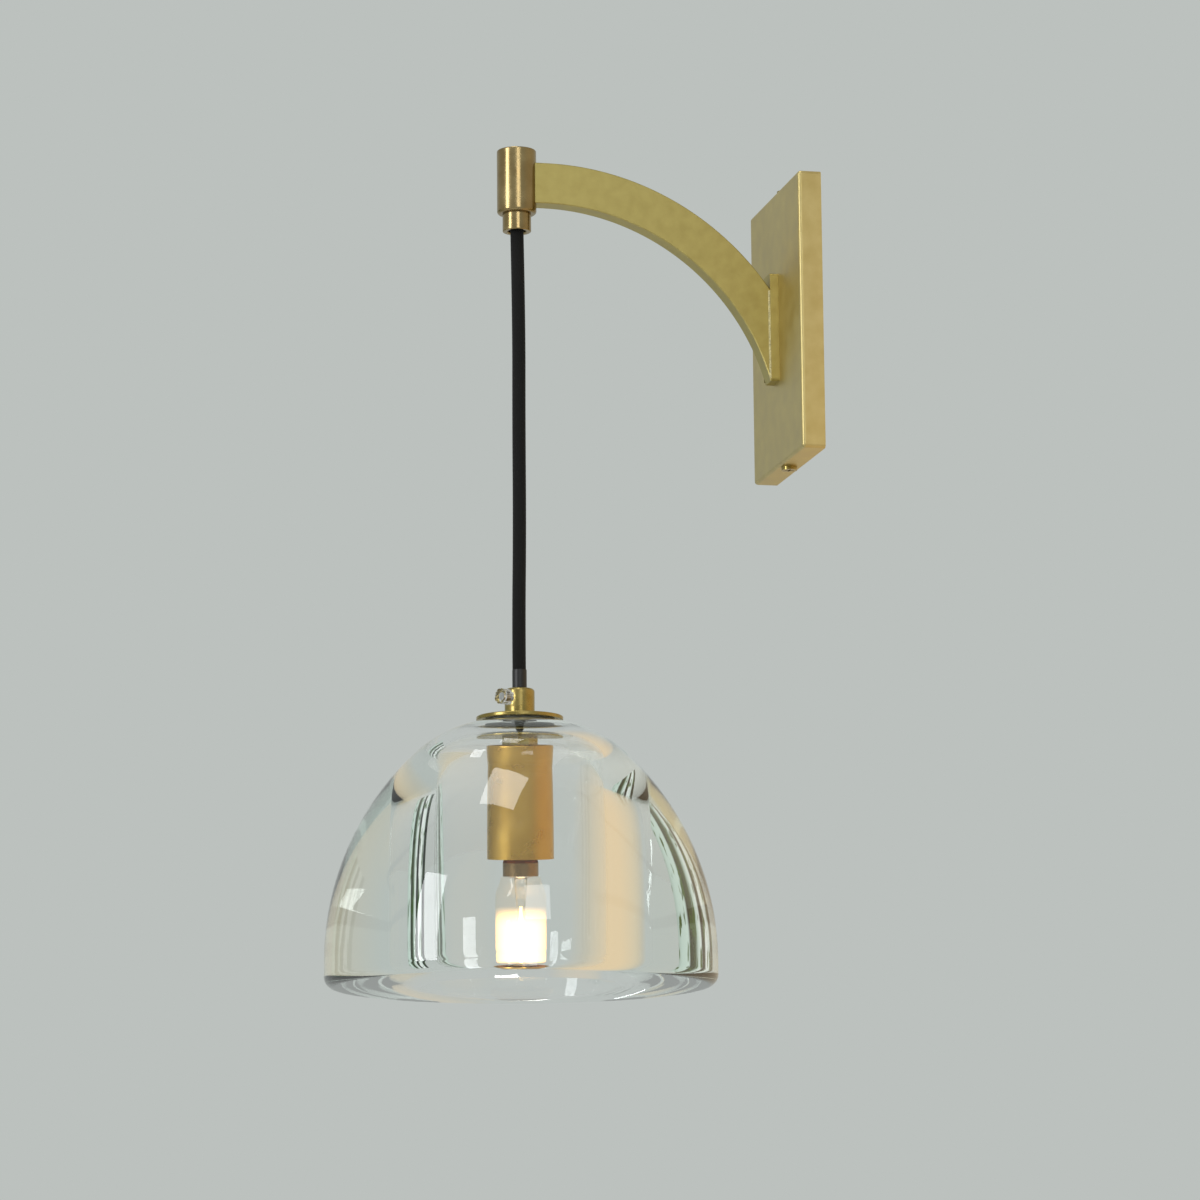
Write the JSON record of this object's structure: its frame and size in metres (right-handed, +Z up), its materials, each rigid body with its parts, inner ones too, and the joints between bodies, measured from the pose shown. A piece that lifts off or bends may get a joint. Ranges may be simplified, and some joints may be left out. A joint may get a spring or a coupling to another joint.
{
  "type": "hanging pendant wall sconce",
  "caption": "Wall sconce: a brass backplate and curved arm carry a lit tubular lamp in a thick clear glass bell, hung on a black braided cord.",
  "frame": {"origin": "centre of the backplate's back, on the wall's face", "axes": "+X along the wall, +Y into the wall, +Z up"},
  "size_m": [0.1796, 0.2255, 0.3935],
  "materials": {
    "brushed_brass": "satin brushed",
    "polished_brass": "polished",
    "zinc_steel": "zinc plated",
    "steel_screw": "machined",
    "braze": "rough",
    "cord_fabric": "braided",
    "heat_shrink": "smooth",
    "clear_acrylic": "clear",
    "gasket": "clear silicone",
    "clear_glass": "polished, clear",
    "lamp_glass": "clear, lit",
    "holder_plastic": "moulded",
    "contact_brass": "bright",
    "lamp_cap": "bright",
    "insulator": "vitrified",
    "tungsten": "glowing",
    "nickel_wire": "drawn",
    "terminal_plastic": "moulded",
    "wire_brown": "insulation",
    "wire_blue": "insulation",
    "wire_green": "insulation"
  },
  "bodies": {
    "fixture": {"backplate_cover": "brushed_brass", "wall_bracket": "zinc_steel", "foot_plate": "brushed_brass", "cover_screws": "brushed_brass", "foot_screws": "steel_screw", "earth_screw": "steel_screw", "arm": "brushed_brass", "foot_braze": "braze", "hub": "brushed_brass", "hub_cap": "brushed_brass", "outlet_bush": "brushed_brass", "bush_nut": "brushed_brass", "cord_stop": "zinc_steel", "cord_tail": "cord_fabric", "terminal_block": "terminal_plastic", "terminal_screws": "steel_screw", "wire_live": "wire_brown", "wire_earth": "wire_green", "wire_neutral": "wire_blue"},
    "cord_bend": {"cord_bend": "cord_fabric"},
    "cord": {"cord": "cord_fabric", "cord_sleeve": "heat_shrink"},
    "pendant": {"cord_collar": "brushed_brass", "shade_disc": "brushed_brass", "upper_gasket": "gasket", "lower_gasket": "gasket", "inner_washer": "brushed_brass", "lock_nut": "brushed_brass", "threaded_nipple": "zinc_steel", "glass_shade": "clear_glass", "socket_cup": "polished_brass", "holder_cap": "holder_plastic", "holder_body": "holder_plastic", "holder_shell": "contact_brass", "centre_contact": "contact_brass", "core_live": "wire_brown", "core_neutral": "wire_blue"},
    "lamp_tip": {"lamp_tip_contact": "contact_brass"},
    "lamp": {"lamp_cap_shell": "lamp_cap", "lamp_insulator": "insulator", "lamp_glass": "lamp_glass", "lamp_stem": "lamp_glass", "lamp_lead_wires": "nickel_wire", "lamp_filament": "tungsten"},
    "grip_stud": {"grip_screw_stud": "steel_screw"},
    "grip_knob": {"grip_screw_knob": "clear_acrylic"}
  },
  "joints": [
    {"name": "swing_fore_aft", "type": "hinge", "parent": "fixture", "child": "cord_bend", "pos_m": [0, -0.1357, 0.0442], "axis": [1, 0, 0], "range_deg": [-15, 7]},
    {"name": "swing_side", "type": "hinge", "parent": "cord_bend", "child": "cord", "pos_m": [0, -0.1357, 0.0442], "axis": [0, 1, 0], "range_deg": [-15, 15]},
    {"name": "pendant_twist", "type": "hinge", "parent": "cord", "child": "pendant", "pos_m": [0, -0.1357, -0.1751], "axis": [0, 0, 1], "range_deg": [-90, 90]},
    {"name": "lamp_travel", "type": "slide", "parent": "pendant", "child": "lamp_tip", "axis": [0, 0, -1], "range_m": [0, 0.01128]},
    {"name": "lamp_turn", "type": "hinge", "parent": "lamp_tip", "child": "lamp", "pos_m": [0, -0.1357, -0.3126], "axis": [0, 0, 1], "range_deg": [0, 1440]},
    {"name": "grip_travel", "type": "slide", "parent": "pendant", "child": "grip_stud", "axis": [0.5736, -0.8192, 0], "range_m": [0, 0.0014]},
    {"name": "grip_turn", "type": "hinge", "parent": "grip_stud", "child": "grip_knob", "pos_m": [0, -0.1357, -0.1798], "axis": [0.5736, -0.8192, 0], "range_deg": [0, 720]}
  ],
  "couplings": [
    {"joint": "lamp_turn", "follows": "lamp_travel", "rad_per_m": 2228},
    {"joint": "grip_turn", "follows": "grip_travel", "rad_per_m": 8975.9}
  ]
}
